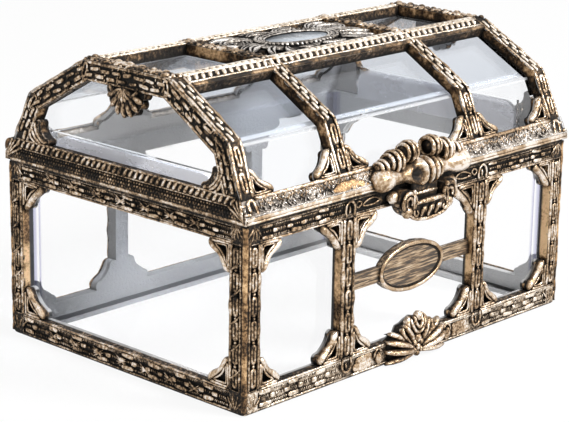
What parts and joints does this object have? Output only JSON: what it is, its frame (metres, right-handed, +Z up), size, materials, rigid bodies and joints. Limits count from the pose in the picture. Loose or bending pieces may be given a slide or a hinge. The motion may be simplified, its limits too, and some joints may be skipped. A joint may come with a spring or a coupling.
{
  "type": "treasure chest box",
  "caption": "Small treasure chest box with an openwork antique gold frame, clear panels, an arched hinged lid and a snap catch.",
  "frame": {"origin": "centre of the underside, on the table plane", "axes": "+X to the right along the length, +Y to the hinge side so that the catch faces -Y, +Z up"},
  "size_m": [0.13, 0.1004, 0.08],
  "materials": {
    "antique_gold": "antique gold paint rubbed off the high points over a dark ground",
    "brushed_gold": "brushed antique gold",
    "clear_plastic": "clear, lightly scuffed",
    "steel": "bright wire"
  },
  "bodies": {
    "base": {"base_front_frame": "antique_gold", "base_back_frame": "antique_gold", "base_left_frame": "antique_gold", "base_right_frame": "antique_gold", "base_liner": "clear_plastic", "name_plaque": "brushed_gold", "base_shell": "antique_gold", "lock_plate": "antique_gold", "hinge_pin_left": "steel", "hinge_pin_right": "steel"},
    "lid": {"lid_cover_frame": "antique_gold", "lid_left_frame": "antique_gold", "lid_right_frame": "antique_gold", "lid_liner": "clear_plastic", "lid_clasp": "antique_gold", "top_medallion": "antique_gold"}
  },
  "joints": [
    {"name": "lid_hinge", "type": "hinge", "parent": "base", "child": "lid", "pos_m": [0, 0.0478, 0.051], "axis": [-1, 0, 0], "range_deg": [0, 105]}
  ]
}
